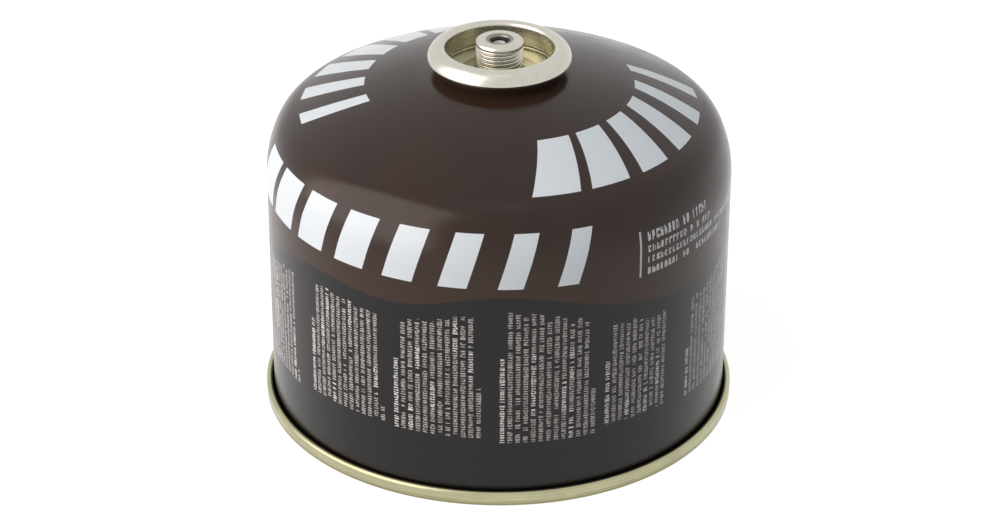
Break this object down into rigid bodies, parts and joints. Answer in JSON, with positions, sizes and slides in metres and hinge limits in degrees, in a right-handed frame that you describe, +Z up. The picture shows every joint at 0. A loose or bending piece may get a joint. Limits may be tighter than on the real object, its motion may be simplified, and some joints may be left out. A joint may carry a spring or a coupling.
{
  "type": "threaded gas fuel canister",
  "caption": "Squat steel gas canister with a domed top, a seamed concave base and a threaded self-sealing valve post for a camping stove.",
  "frame": {"origin": "on the canister's axis, in the plane that the base seam stands on", "axes": "+Z up along the axis, out of the valve; X and Y are free, as every piece but the spring is round"},
  "size_m": [0.11, 0.11, 0.0891],
  "materials": {
    "paint": "satin dark brown print with a charcoal lower field",
    "gold_tinplate": "gold lacquered tinplate",
    "tinplate": "bright tinplate",
    "seal_rubber": "matt black",
    "valve_plastic": "natural acetal",
    "stem_plastic": "pale grey acetal",
    "spring_steel": "drawn wire"
  },
  "bodies": {
    "canister": {"can_body": "paint", "base_end": "gold_tinplate", "valve_cup": "tinplate", "cup_gasket": "seal_rubber", "stem_gasket": "seal_rubber", "valve_housing": "valve_plastic", "valve_spring": "spring_steel"},
    "stem": {"valve_stem": "stem_plastic"}
  },
  "joints": [
    {"name": "valve_press", "type": "slide", "parent": "canister", "child": "stem", "axis": [0, 0, -1], "range_m": [0, 0.0016], "stiffness_N_per_m": 1500, "springref_m": -0.0015, "deforming": ["valve_spring"]}
  ]
}
